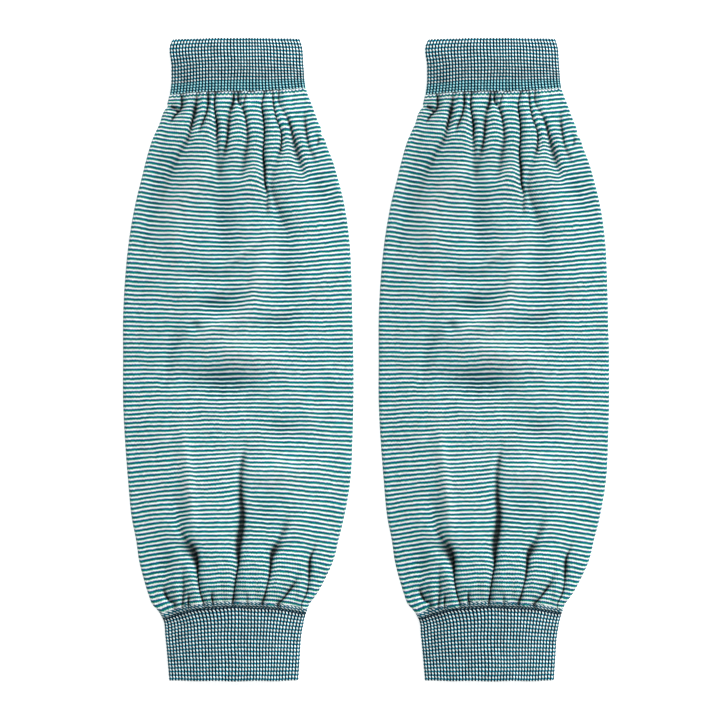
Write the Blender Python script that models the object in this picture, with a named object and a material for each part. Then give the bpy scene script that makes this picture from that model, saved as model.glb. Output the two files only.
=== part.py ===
"""A pair of knitted leg sleeves, laid flat side by side.

Each sleeve is one circular-knitted tube, open at both ends: a short rib cuff at the top, a wide
striped body gathered into both cuffs, and a longer rib cuff at the bottom. The cloth is a wall
round an empty hollow, and it rests on a flat underside. Every size is in millimetres. X runs
across the pair, Y up the sleeves, and Z up from the surface that they lie on.
"""

import math

import bmesh
import bpy
import numpy as np

MM = 0.001

# Driving dimensions of the pair and of one sleeve
SLEEVE_PITCH = 132.9
TOP_EDGE = 166.9
TOP_JOIN = 139.1
BOTTOM_JOIN = -126.6
BOTTOM_EDGE = -166.9
WALL = 1.5
SEAM_GAP = 0.3
SIDE_RADIUS = 2.2
BOW_POWER = 2.2

# The crown over a section falls as (1 - s^CROWN_FLATNESS)^CROWN_FALL, and the deepest fold leaves
# this much hollow between the two walls
CROWN_FLATNESS = 3
CROWN_FALL = 1.5
LEAST_HOLLOW = 0.6

# The 1x1 rib of both cuffs, raised on the side that doesn't rest
RIBS_ACROSS = 42
RIB_HEIGHT = 0.5

# Sections down one sleeve: the half-widths left and right of its axis, how far the knitted
# course there is lifted at the left and right edge, and the height of the crown
SECTION_COLUMNS = ("y", "left", "right", "left_lift", "right_lift", "height")
SECTIONS = (
    (166.9, 33.8, 31.7, -0.3, 0.0, 8.4),
    (165.2, 34.8, 32.4, -0.5, -0.1, 8.5),
    (152.0, 34.8, 34.0, -1.8, -0.6, 8.8),
    (141.2, 35.1, 35.1, -1.6, 1.6, 9.4),
    (138.0, 35.6, 36.0, -1.3, 2.1, 9.6),
    (134.0, 36.6, 37.6, -0.4, 2.2, 10.4),
    (124.5, 40.0, 41.1, 2.0, 2.6, 12.0),
    (114.1, 44.7, 44.7, 3.4, 3.0, 12.5),
    (103.7, 47.8, 48.9, 4.1, 3.4, 12.2),
    (93.3, 50.4, 52.0, 4.2, 3.8, 11.6),
    (82.9, 53.0, 54.6, 4.2, 4.0, 10.6),
    (62.1, 56.7, 57.7, 3.4, 3.4, 10.0),
    (41.3, 58.8, 58.8, 2.1, 2.1, 9.6),
    (20.5, 59.8, 59.3, 0.8, 0.8, 9.4),
    (0.0, 59.8, 59.8, 0.0, 0.0, 9.2),
    (-21.1, 59.8, 59.8, -1.2, -1.2, 9.4),
    (-41.9, 58.8, 59.3, -2.1, -2.1, 9.8),
    (-62.7, 57.2, 58.2, -3.6, -3.6, 11.0),
    (-83.5, 55.1, 54.6, -4.6, -4.6, 12.0),
    (-93.9, 53.0, 52.0, -4.8, -4.7, 12.4),
    (-104.3, 51.5, 49.4, -5.2, -4.8, 12.6),
    (-114.7, 48.9, 44.7, -5.2, -4.2, 12.2),
    (-123.0, 46.3, 40.0, -5.0, -3.2, 10.7),
    (-127.1, 44.7, 36.9, -4.7, -2.6, 9.9),
    (-131.3, 41.1, 35.4, -4.4, -2.0, 9.6),
    (-135.5, 39.0, 34.3, -3.8, -1.6, 9.4),
    (-143.8, 38.0, 32.8, -2.6, -1.0, 9.0),
    (-155.0, 36.9, 32.0, -1.2, -0.4, 8.7),
    (-166.9, 35.9, 31.2, 0.0, 0.0, 8.4),
)

# Gathers: each valley starts at a cuff at x = at_cuff and runs into the body for its length,
# through midway to at_end. It is deepest at deepest_at, a fraction of its length.
FOLD_COLUMNS = ("at_cuff", "midway", "at_end", "length", "deepest_at", "depth", "half_width")
TOP_FOLDS = (
    (-33.5, -35.5, -38.0, 14.0, 0.70, 0.9, 1.5),
    (-29.6, -30.4, -33.3, 15.0, 0.35, 2.0, 1.6),
    (-21.8, -23.0, -27.0, 26.0, 0.40, 3.5, 1.9),
    (-15.6, -16.8, -20.0, 26.0, 0.35, 2.3, 1.6),
    (-12.4, -10.9, -9.9, 44.0, 0.40, 3.1, 1.7),
    (-2.1, -5.7, -8.8, 38.0, 0.35, 3.4, 1.8),
    (1.0, 4.7, 2.6, 44.0, 0.40, 3.1, 1.8),
    (13.0, 13.2, 15.1, 66.0, 0.45, 4.0, 1.9),
    (18.2, 22.6, 22.4, 30.0, 0.40, 2.2, 1.5),
    (21.3, 27.6, 34.0, 38.0, 0.60, 3.5, 2.0),
    (33.4, 35.4, 39.5, 34.0, 0.50, 1.5, 1.7),
)
BOTTOM_FOLDS = (
    (-33.3, -36.4, -39.0, 12.0, 0.35, 1.7, 1.8),
    (-28.6, -28.1, -28.1, 21.0, 0.35, 2.4, 1.6),
    (-24.6, -25.6, -26.5, 9.0, 0.30, 1.4, 1.3),
    (-17.7, -21.0, -29.6, 44.0, 0.60, 4.0, 2.2),
    (-12.0, -12.8, -13.5, 8.0, 0.30, 1.3, 1.3),
    (-3.1, 1.0, 4.2, 88.0, 0.55, 4.4, 2.3),
    (4.2, 4.5, 4.8, 7.0, 0.30, 1.1, 1.3),
    (13.0, 17.2, 25.5, 49.0, 0.55, 3.8, 2.1),
    (22.9, 28.1, 31.2, 24.0, 0.35, 1.6, 1.6),
    (33.3, 36.4, 39.5, 33.0, 0.60, 2.8, 1.8),
)
# Part of its depth that a valley has at the cuff, and how sharply valleys that cross stay apart
FOLD_START = 0.45
UNION_POWER = 4

# Soft hollows of the loose cloth, and swells where the depth is negative. The long axis of each
# is turned from X.
HOLLOW_COLUMNS = ("x", "y", "half_length", "half_width", "turn", "depth")
HOLLOWS = (
    (-33.0, 99.0, 9.0, 3.6, 50.0, 0.9),
    (-5.2, 80.0, 16.0, 5.0, 95.0, 0.8),
    (25.0, 72.0, 15.0, 3.8, 108.0, 1.0),
    (-8.3, 32.0, 12.5, 4.6, 11.0, 1.0),
    (27.0, 22.6, 10.5, 4.6, 10.0, 0.5),
    (3.6, 6.0, 18.0, 6.0, 0.0, -0.8),
    (-33.8, 2.0, 13.0, 4.0, 80.0, 0.6),
    (-1.5, -9.0, 18.5, 6.4, 0.0, 1.7),
    (28.0, -34.0, 9.5, 5.2, 0.0, 0.7),
    (-23.4, -56.0, 28.0, 3.8, 90.0, -0.6),
    (-28.0, -70.0, 14.0, 4.6, 97.0, 0.7),
    (-36.0, -110.0, 12.0, 4.6, 100.0, 0.9),
)

# Rings between the two ends of each piece; the body's inner face is plainer in the middle
BODY_COURSES = (
    136.1, 132.1, 127.1, 121.1, 113.6, 105.0, 95.0, 84.0, 72.0, 60.0, 48.0, 39.0, 31.0, 22.0,
    13.0, 5.0, -3.0, -10.0, -18.0, -28.0, -40.0, -52.0, -63.0, -73.0, -83.0, -92.0, -100.0,
    -107.0, -113.5, -119.0, -123.2,
)
INNER_BODY_COURSES = (
    136.1, 132.1, 127.1, 121.1, 113.6, 105.0, 95.0, 84.0, 72.0, 56.0, 31.0, 5.0, -10.0, -32.0,
    -52.0, -63.0, -73.0, -83.0, -92.0, -100.0, -107.0, -113.5, -119.0, -123.2,
)
TOP_CUFF_COURSES = (165.2, 152.0)
BOTTOM_CUFF_COURSES = (-131.3, -137.0, -150.0)

# Points round a ring: spaces across the upper side and the underside, and steps round each edge
BODY_RING = {"across": 44, "under": 5, "edge_steps": 4}
CUFF_RING = {"across": 2 * RIBS_ACROSS, "under": 6, "edge_steps": 4}
CUFF_INSIDE_RING = {"across": 21, "under": 3, "edge_steps": 2}

# How much of the way round a ring belongs to one broad side, and to one edge
SIDE_SHARE = 0.45
EDGE_SHARE = 0.05
SHARP_ANGLE = 50

# Colours are linear; each is the mean of the yarns that are knitted there
MATERIALS = {
    "top_cuff": ((0.155, 0.290, 0.320, 1.0), 0.90),
    "body": ((0.260, 0.440, 0.455, 1.0), 0.88),
    "bottom_cuff": ((0.140, 0.262, 0.300, 1.0), 0.90),
}


def section_column(name):
    """One named column of SECTIONS as an array, from the bottom of the sleeve up."""
    return np.array([row[SECTION_COLUMNS.index(name)] for row in reversed(SECTIONS)])


def section(name, y):
    """A smooth curve through one column of SECTIONS, read at heights y.

    Between two sections it is the cubic whose slopes there are those of the neighbouring rows.
    """
    heights = section_column("y")
    values = section_column(name)
    slopes = np.gradient(values, heights)
    y = np.clip(y, heights[0], heights[-1])
    i = np.clip(np.searchsorted(heights, y) - 1, 0, len(heights) - 2)
    span = heights[i + 1] - heights[i]
    t = (y - heights[i]) / span
    start = (1 + 2 * t) * (1 - t) ** 2 * values[i] + t * (1 - t) ** 2 * span * slopes[i]
    end = t * t * (3 - 2 * t) * values[i + 1] - t * t * (1 - t) * span * slopes[i + 1]
    return start + end


def smooth_step(t):
    """0 below 0, 1 above 1, and an even S between them."""
    t = np.clip(t, 0.0, 1.0)
    return t * t * (3 - 2 * t)


def course_height(course, s):
    """Y along one knitted course, s running from -1 at the left edge to 1 at the right."""
    lift = np.where(s < 0, section("left_lift", course), section("right_lift", course))
    return course + lift * np.abs(s) ** BOW_POWER


def flat_reach(y, s):
    """The half-width at y without the rounded edge, on the side that s lies on."""
    half = np.where(s < 0, section("left", y), section("right", y))
    return half - SIDE_RADIUS


def gather_depth(x, y, folds, join, away):
    """How deep the gathers of one cuff are at x, y. away is -1 down from the cuff, 1 up."""
    total = np.zeros_like(x)
    for row in folds:
        fold = dict(zip(FOLD_COLUMNS, row))
        deepest_at = fold["deepest_at"]
        q = np.clip(away * (y - join) / fold["length"], 0.0, 1.0)
        path = fold["at_cuff"] * (1 - q) * (1 - 2 * q)
        path = path + fold["midway"] * 4 * q * (1 - q) + fold["at_end"] * q * (2 * q - 1)
        rise = FOLD_START + (1 - FOLD_START) * smooth_step(q / deepest_at)
        fall = 1 - smooth_step((q - deepest_at) / (1 - deepest_at))
        across = np.exp(-(((x - path) / (fold["half_width"] * (1 + q))) ** 2))
        total += (fold["depth"] * rise * fall * across) ** UNION_POWER
    return total ** (1 / UNION_POWER)


def hollow_depth(x, y):
    """How deep the soft hollows are at x, y; a swell counts as negative."""
    total = np.zeros_like(x)
    for row in HOLLOWS:
        hollow = dict(zip(HOLLOW_COLUMNS, row))
        turn = math.radians(hollow["turn"])
        across, up = x - hollow["x"], y - hollow["y"]
        along = (across * math.cos(turn) + up * math.sin(turn)) / hollow["half_length"]
        aside = (up * math.cos(turn) - across * math.sin(turn)) / hollow["half_width"]
        total += hollow["depth"] * np.exp(-(along**2) - aside**2)
    return total


def upper_side(courses, s, gathered):
    """The upper side of the tube as x, y, z: a crown over the rounded edges, less its folds."""
    course, s = np.meshgrid(courses, s, indexing="ij")
    y = course_height(course, s)
    x = s * flat_reach(y, s)
    edge_height = 2 * SIDE_RADIUS
    crown = (1 - np.abs(s) ** CROWN_FLATNESS) ** CROWN_FALL
    z = edge_height + (section("height", course) - edge_height) * crown
    if gathered:
        depth = gather_depth(x, y, TOP_FOLDS, TOP_JOIN, -1)
        depth = depth + gather_depth(x, y, BOTTOM_FOLDS, BOTTOM_JOIN, 1) + hollow_depth(x, y)
        deepest = z - 2 * WALL - LEAST_HOLLOW
        z = z - np.where(depth > 0, deepest * np.tanh(depth / deepest), depth)
    return x, y, z


def under_side(courses, s, z):
    """The flat underside as x, y, z."""
    course, s = np.meshgrid(courses, s, indexing="ij")
    y = course_height(course, s)
    return s * flat_reach(y, s), y, np.full_like(y, z)


def side_edge(courses, side, angles, radius):
    """The rounded edge on one side (-1 left, 1 right) as x, y, z, round its own centre line."""
    course, angle = np.meshgrid(courses, np.radians(angles), indexing="ij")
    y = course_height(course, float(side))
    x = side * (flat_reach(y, float(side)) + radius * np.cos(angle))
    return x, y, SIDE_RADIUS + radius * np.sin(angle)


def ring_rows(courses, ring, inner, gathered, rib_height=0.0):
    """Rings of the tube, one for each course: upper side, right edge, underside, left edge."""
    s_upper = np.linspace(-1, 1, ring["across"] + 1)
    s_under = np.linspace(1, -1, ring["under"] + 1)
    x, y, z = upper_side(courses, s_upper, gathered)
    if inner:
        slope = np.gradient(z, axis=1) / np.gradient(x, axis=1)
        z = z - WALL * np.sqrt(1 + slope**2)
    z[:, 1::2] += rib_height
    angles = np.linspace(90, -90, ring["edge_steps"] + 1)[1:-1]
    radius = SIDE_RADIUS - (WALL if inner else 0.0)
    parts = (
        (x, y, z),
        side_edge(courses, 1, angles, radius),
        under_side(courses, s_under, WALL if inner else 0.0),
        side_edge(courses, -1, angles[::-1], radius),
    )
    return np.stack([np.concatenate(axis, axis=1) for axis in zip(*parts)], axis=2)


def ring_places(ring):
    """How far round the ring each of its points lies, from 0 to 1, by its four stretches."""
    round_edge = np.linspace(0, EDGE_SHARE, ring["edge_steps"] + 1)[1:-1]
    return np.concatenate((
        np.linspace(0, SIDE_SHARE, ring["across"] + 1),
        SIDE_SHARE + round_edge,
        np.linspace(SIDE_SHARE, 2 * SIDE_SHARE, ring["under"] + 1) + EDGE_SHARE,
        2 * SIDE_SHARE + EDGE_SHARE + round_edge,
    ))


def add_rings(bm, rings):
    """The points of a stack of closed rings, and the faces between each ring and the next."""
    grid = [[bm.verts.new(point) for point in ring] for ring in (rings * MM).tolist()]
    for low, high in zip(grid, grid[1:]):
        for i in range(len(low)):
            bm.faces.new((low[i - 1], low[i], high[i], high[i - 1]))
    return grid


def join_rims(bm, outer, inner, outer_places, inner_places):
    """Triangles between two closed rings, each step taken on the ring whose next point is nearer."""
    outer_next = np.append(outer_places[1:], (1.0, math.inf))
    inner_next = np.append(inner_places[1:], (1.0, math.inf))
    i = j = 0
    while i < len(outer) or j < len(inner):
        here, across = outer[i % len(outer)], inner[j % len(inner)]
        if outer_next[i] <= inner_next[j]:
            i += 1
            bm.faces.new((here, outer[i % len(outer)], across))
        else:
            j += 1
            bm.faces.new((here, inner[j % len(inner)], across))


def wall_mesh(name, outer, inner, outer_ring, inner_ring):
    """One closed wall: its outer rings, its inner rings, and a rim that joins them at each end."""
    bm = bmesh.new()
    outside = add_rings(bm, outer)
    inside = add_rings(bm, inner)
    for end in (0, -1):
        join_rims(bm, outside[end], inside[end], ring_places(outer_ring), ring_places(inner_ring))
    bmesh.ops.recalc_face_normals(bm, faces=bm.faces)
    mesh = bpy.data.meshes.new(name)
    bm.to_mesh(mesh)
    bm.free()
    mesh.shade_smooth()
    mesh.set_sharp_from_angle(angle=math.radians(SHARP_ANGLE))
    return mesh


def cuff_mesh(name, courses):
    """A rib cuff: 1x1 ribs raised on the upper side, over a plain inner face."""
    outer = ring_rows(courses, CUFF_RING, inner=False, gathered=False, rib_height=RIB_HEIGHT)
    inner = ring_rows(courses, CUFF_INSIDE_RING, inner=True, gathered=False)
    return wall_mesh(name, outer, inner, CUFF_RING, CUFF_INSIDE_RING)


def body_mesh(name, courses, inner_courses):
    """The wide body, gathered at both ends."""
    outer = ring_rows(courses, BODY_RING, inner=False, gathered=True)
    inner = ring_rows(inner_courses, BODY_RING, inner=True, gathered=True)
    return wall_mesh(name, outer, inner, BODY_RING, BODY_RING)


def knit_material(name, colour, roughness):
    """Matt yarn of one mean colour."""
    material = bpy.data.materials.new(name)
    material.use_nodes = True
    shader = material.node_tree.nodes["Principled BSDF"]
    shader.inputs["Base Color"].default_value = colour
    shader.inputs["Roughness"].default_value = roughness
    shader.inputs["Metallic"].default_value = 0.0
    material.diffuse_color = colour
    return material


def sleeve_meshes():
    """The three pieces of one sleeve, each ending half a seam gap short of its neighbour."""
    half_gap = SEAM_GAP / 2
    body_ends = (TOP_JOIN - half_gap, BOTTOM_JOIN + half_gap)
    meshes = {
        "top_cuff": cuff_mesh("top_cuff", (TOP_EDGE, *TOP_CUFF_COURSES, TOP_JOIN + half_gap)),
        "body": body_mesh(
            "body",
            (body_ends[0], *BODY_COURSES, body_ends[1]),
            (body_ends[0], *INNER_BODY_COURSES, body_ends[1]),
        ),
        "bottom_cuff": cuff_mesh(
            "bottom_cuff", (BOTTOM_JOIN - half_gap, *BOTTOM_CUFF_COURSES, BOTTOM_EDGE)
        ),
    }
    for piece, mesh in meshes.items():
        mesh.materials.append(knit_material(piece, *MATERIALS[piece]))
    return meshes


def place_sleeve(side, centre_x, meshes):
    """One sleeve of the pair: its pieces under an empty on its own axis."""
    axis = bpy.data.objects.new(f"{side}_sleeve", None)
    axis.location = (centre_x * MM, 0.0, 0.0)
    bpy.context.scene.collection.objects.link(axis)
    for piece, mesh in meshes.items():
        item = bpy.data.objects.new(f"{side}_{piece}", mesh)
        item.parent = axis
        bpy.context.scene.collection.objects.link(item)


def main():
    for item in list(bpy.data.objects):
        bpy.data.objects.remove(item, do_unlink=True)
    meshes = sleeve_meshes()
    for side, centre_x in (("left", -SLEEVE_PITCH / 2), ("right", SLEEVE_PITCH / 2)):
        place_sleeve(side, centre_x, meshes)


main()
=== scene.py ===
# %% [markdown]
# # A pair of knitted leg sleeves, laid flat
#
# Each sleeve is one tube of fine knitted cloth, striped teal and off-white, with a short rib cuff
# at the top and a longer one at the bottom. The wide body is gathered into both. The pair lies
# flat, side by side, with the short cuffs up.
#
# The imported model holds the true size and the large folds. This lesson dresses it with the sharp
# pleats, the rib relief, the stitches and the yarn colours.

import math
from functools import partial, partialmethod

import bpy
import numpy as np
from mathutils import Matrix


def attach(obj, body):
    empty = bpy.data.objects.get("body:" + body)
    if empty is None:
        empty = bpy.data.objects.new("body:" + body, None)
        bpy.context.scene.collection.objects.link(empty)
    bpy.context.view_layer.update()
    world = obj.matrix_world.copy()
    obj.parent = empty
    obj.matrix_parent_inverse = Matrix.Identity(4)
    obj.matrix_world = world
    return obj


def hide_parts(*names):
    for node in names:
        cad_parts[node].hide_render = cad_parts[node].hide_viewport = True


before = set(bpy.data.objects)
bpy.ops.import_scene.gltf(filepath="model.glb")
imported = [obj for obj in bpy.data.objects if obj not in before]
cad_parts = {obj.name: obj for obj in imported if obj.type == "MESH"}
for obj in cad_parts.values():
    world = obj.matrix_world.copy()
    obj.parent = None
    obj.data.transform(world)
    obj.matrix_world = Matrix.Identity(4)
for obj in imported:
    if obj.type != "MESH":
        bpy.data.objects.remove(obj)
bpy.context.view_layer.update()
print("nodes of the packed model:", sorted(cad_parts))

# %% [markdown]
# ## The sleeve as sections
#
# A tube that lies flat is nearly a lens in section: a flat underside, two rounded side edges, and
# a crown on top. A table of sections is easier to correct against a photograph than a sculpted
# form: each row gives the two half-widths, how far the knitted course bows at each side, and the
# height of the crown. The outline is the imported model's. Only the bow at the long cuff is a little
# stronger, and its join lies 1.4 mm lower.

# %% Sizes of one sleeve, in millimetres
MM = 0.001
SLEEVE_AXES = {"left": -66.45, "right": 66.45}
TOP_EDGE, TOP_JOIN = 166.9, 139.1
BOTTOM_JOIN, BOTTOM_EDGE = -128.0, -166.9
JOIN_GAP = 0.1
SIDE_RADIUS = 2.2
BOW_POWER = 2.2
CROWN_FLATNESS, CROWN_FALL = 3, 1.5

SECTION_COLUMNS = ("y", "left", "right", "left_lift", "right_lift", "height")
SECTIONS = (
    (166.9, 33.8, 31.7, -0.3, 0, 8.4),
    (165.2, 34.8, 32.4, -0.5, -0.1, 8.5),
    (152, 34.8, 34, -1.8, -0.6, 8.8),
    (141.2, 35.1, 35.1, -1.6, 1.6, 9.4),
    (138, 35.6, 36, -1.3, 2.1, 9.6),
    (134, 36.6, 37.6, -0.4, 2.2, 10.4),
    (124.5, 40, 41.1, 2, 2.6, 12),
    (114.1, 44.7, 44.7, 3.4, 3, 12.5),
    (103.7, 47.8, 48.9, 4.1, 3.4, 12.2),
    (93.3, 50.4, 52, 4.2, 3.8, 11.6),
    (82.9, 53, 54.6, 4.2, 4, 10.6),
    (62.1, 56.7, 57.7, 3.4, 3.4, 10),
    (41.3, 58.8, 58.8, 2.1, 2.1, 9.6),
    (20.5, 59.8, 59.3, 0.8, 0.8, 9.4),
    (0, 59.8, 59.8, 0, 0, 9.2),
    (-21.1, 59.8, 59.8, -1.2, -1.2, 9.4),
    (-41.9, 58.8, 59.3, -2.1, -2.1, 9.8),
    (-62.7, 57.2, 58.2, -3.6, -3.6, 11),
    (-83.5, 55.1, 54.6, -4.6, -4.6, 12),
    (-93.9, 53, 52, -4.8, -4.7, 12.4),
    (-104.3, 51.5, 49.4, -5.3, -4.8, 12.6),
    (-114.7, 48.9, 44.7, -5.8, -4.6, 12.2),
    (-123, 46.3, 40, -6.4, -4.1, 10.7),
    (-127.1, 44.7, 36.9, -6.4, -3.7, 9.9),
    (-131.3, 41.1, 35.4, -5.6, -3, 9.6),
    (-135.5, 39, 34.3, -4.6, -2.2, 9.4),
    (-143.8, 38, 32.8, -3, -1.2, 9),
    (-155, 36.9, 32, -1.2, -0.4, 8.7),
    (-166.9, 35.9, 31.2, 0, 0, 8.4),
)
print(len(SECTIONS), "sections from", SECTIONS[0][0], "down to", SECTIONS[-1][0], "mm")


# %% Curves through a table
def smooth_curve(stations, values, at):
    """A curve through the values at rising stations: between two of them it is the cubic whose end
    slopes are those of the neighbouring rows."""
    slopes = np.gradient(values, stations)
    at = np.clip(at, stations[0], stations[-1])
    i = np.clip(np.searchsorted(stations, at) - 1, 0, len(stations) - 2)
    span = stations[i + 1] - stations[i]
    t = (at - stations[i]) / span
    start = (1 + 2 * t) * (1 - t) ** 2 * values[i] + t * (1 - t) ** 2 * span * slopes[i]
    end = t * t * (3 - 2 * t) * values[i + 1] - t * t * (1 - t) * span * slopes[i + 1]
    return start + end


def column_curve(columns, rows, y, name):
    """One column of a table as a smooth curve, read at heights y. A row that is one value short
    repeats its last value."""
    full_rows = np.array(sorted((*row, row[-1])[: len(columns)] for row in rows))
    return smooth_curve(full_rows[:, 0], full_rows[:, columns.index(name)], y)


def section(name, y):
    """One column of SECTIONS at heights y."""
    return column_curve(SECTION_COLUMNS, SECTIONS, y, name)


def course_height(course, s):
    """Y along one knitted course: its height in the middle, plus a lift times the distance s from
    it, to the power BOW_POWER."""
    lift = np.where(s < 0, section("left_lift", course), section("right_lift", course))
    return course + lift * np.abs(s) ** BOW_POWER


# Side, y, depth and half height of each fold that crosses a side edge.
SIDE_NICKS = (
    (-1, 131.4, 0.9, 1.1),
    (-1, 127.4, -0.6, 2.6),
    (1, 117.2, 0.9, 1.0),
    (1, 120.4, -0.4, 2.2),
    (1, 113.4, -0.4, 2.2),
)
NICK_POWER = 8


def edge_nick(y, s):
    """How far the folds draw a side edge in: bells along y, strong at the edge."""
    total = np.zeros_like(y)
    for side, centre_y, depth, half_height in SIDE_NICKS:
        bell = np.exp(-(((y - centre_y) / half_height) ** 2))
        total = total + np.where(np.sign(s) == side, depth * bell, 0.0)
    return total * np.abs(s) ** NICK_POWER


EDGE_NAP = 0.25


def flat_reach(y, s):
    """The half-width at y without the rounded edge, on the side that s lies on."""
    reach = np.where(s < 0, section("left", y), section("right", y))
    return reach + EDGE_NAP - SIDE_RADIUS - edge_nick(y, s)


def laid(course, s):
    """X and Y of the smooth flat tube."""
    y = course_height(course, s)
    return s * flat_reach(y, s), y


def crown(course, s):
    """Height of the smooth upper side: the edge height, plus a rise that falls off as
    (1 - s to the power CROWN_FLATNESS) to the power CROWN_FALL."""
    edge = 2 * SIDE_RADIUS
    rise = (1 - np.abs(s) ** CROWN_FLATNESS) ** CROWN_FALL
    return edge + (section("height", course) - edge) * rise


def smooth_step(t):
    """0 below 0, 1 above 1, and an even S between them."""
    t = np.clip(t, 0.0, 1.0)
    return t * t * (3 - 2 * t)


print("crown in the middle:", float(crown(0.0, np.array(0.0))), "mm")

# %% [markdown]
# ## The gathers
#
# The body is over half as wide again as the cuffs, so it is gathered. Close to a cuff each gather
# is a thin slit where two rounded pleats press together. Further on it opens into a pocket, leans
# to one side, and fades into the loose cloth.
#
# Simulated cloth never gathers in these very places. So each crease is a path with its own depth
# and its own width on either side, read from the photograph, corrected against renders, and set
# down as a few stations. A station with one width has it on both sides. The first table is for the
# short cuff, the second for the long one.

# %% Creases under the short cuff
CREASE_COLUMNS = ("y", "x", "depth", "left_width", "right_width")
TOP_CREASES = (
    ((132.6, -37.9, 3.6, 3, 2.8), (131.4, -34.6, 4, 3, 2.8), (130, -32, 3, 1.8),
     (128.8, -30, 1.1, 1), (127.6, -28.5, 0, 1)),
    ((139.1, -29.7, 1.8, 0.9), (134.9, -29.4, 3.5, 0.8), (131.3, -29.6, 2.8, 1, 1.1),
     (126.6, -33.3, 2.9, 0.8, 0.9), (121, -36.4, 0, 1.2)),
    ((139.1, -21.2, 1.8, 0.7), (132.3, -22, 2.2, 1.6), (124.5, -23.9, 4.5, 0.48),
     (119.3, -25, 1.6, 1.1), (115.7, -25.8, 1.6, 1.6, 1.4), (108.9, -29.3, 1.1, 2.8, 2.2),
     (101.1, -33.6, 1, 3.4, 2.6), (93, -36.6, 0.9, 3.6, 2.8), (85.5, -38.8, 0.8, 4, 3),
     (74, -42, 0, 4, 3)),
    ((139.1, -15.7, 3, 0.6), (132.3, -15.7, 4.7, 0.55, 0.5), (128.7, -16.4, 4.7, 0.4, 0.38),
     (121, -19.2, 1.8, 1, 0.9), (114.1, -21.5, 0, 1.5)),
    ((139.1, -11.7, 3.2, 0.41), (132.9, -12.3, 3.5, 0.49), (127.1, -11.6, 3, 0.38),
     (122, -10.8, 3.9, 0.8, 0.7), (116.5, -10.9, 2.1, 0.8), (108.9, -10.4, 1.4, 1.6),
     (98.5, -9.9, 1.2, 2.4), (86, -9, 0, 3)),
    ((139.1, -2.1, 2, 0.6, 0.8), (134, -2.6, 3.4, 0.8, 0.9), (128.7, -4.2, 1.8, 1.6, 1.3),
     (124.5, -4.7, 2.1, 1.6, 1.5), (114.1, -5.7, 2.3, 0.8), (106, -7.4, 1.4, 2.1),
     (98, -9, 1.2, 2), (88, -9, 0, 3)),
    ((139.1, 0.3, 1.6, 0.6, 0.5), (134.6, 0.1, 3.4, 0.7, 0.5), (131.3, 2.2, 2.5, 0.38),
     (128.4, 3.4, 2.3, 0.6), (123, 4.4, 2, 0.6, 0.7), (114.1, 5, 1.8, 1.5),
     (106, 3.8, 1.6, 2.1, 1.6), (98.5, 2.9, 1.2, 2.6, 2.1), (88, 1, 0, 3.5, 3)),
    ((139.1, 5.4, 1.8, 0.6), (136, 3.9, 2.2, 0.5), (130.8, 2.7, 1.5, 0.38),
     (127, 3.6, 0, 0.6)),
    ((139.1, 13.9, 3.7, 0.38), (131.5, 12.3, 3, 0.38), (126.6, 13.1, 4.5, 0.38),
     (117, 13.6, 5.4, 0.38), (107.5, 13, 5.4, 0.41, 0.49), (98, 13.7, 2.7, 0.7, 1),
     (91.2, 14, 2.7, 0.41, 0.7), (86.6, 15.1, 1.5, 0.5, 1.2), (80, 15, 1.4, 0.9, 1.5),
     (68, 16, 0, 2, 4)),
    ((139.1, 17.8, 2, 0.5), (130.8, 18.6, 2.4, 0.38), (125.8, 19.8, 2.1, 0.5),
     (120.1, 22.1, 4.1, 0.38), (112, 22.3, 2.7, 0.38, 0.4), (106.3, 21.2, 1.3, 1.6),
     (97, 18.6, 1, 2), (88.1, 17.6, 1.2, 1.6, 2.6), (81.4, 19.8, 1.2, 1.8, 2.6),
     (74, 22.6, 1, 2, 2.6), (68, 25, 0.8, 2.2, 2.8), (62.1, 27.2, 0.5, 2.4, 3.4),
     (52, 29, 0, 3)),
    ((139.1, 21.2, 2.5, 0.41), (135, 21, 2, 0.7), (132, 21.8, 1.4, 0.9),
     (128.3, 24.2, 1.3, 0.8), (123.3, 26.7, 2.2, 0.8), (118.3, 28.2, 2.2, 0.8),
     (113.8, 29.4, 2, 1.5, 1.6), (104.3, 32.3, 1.6, 2.4), (98.5, 34.2, 1, 2.3),
     (90, 36, 0, 3)),
    ((131, 34.6, 0, 1), (126.6, 34.6, 1.3, 1.7, 1.6), (120.4, 35.2, 2.1, 1.1),
     (111.5, 36.8, 1.6, 1.1), (104.8, 39.4, 1.2, 1.9), (97, 41, 0, 2.4)),
    ((120, 43.5, 0, 1), (117.6, 43.3, 5.4, 0.6), (114.5, 41.9, 3.1, 0.58),
     (109, 41, 0, 1)),
)
print(len(TOP_CREASES), "creases run down from the short cuff")

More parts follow.
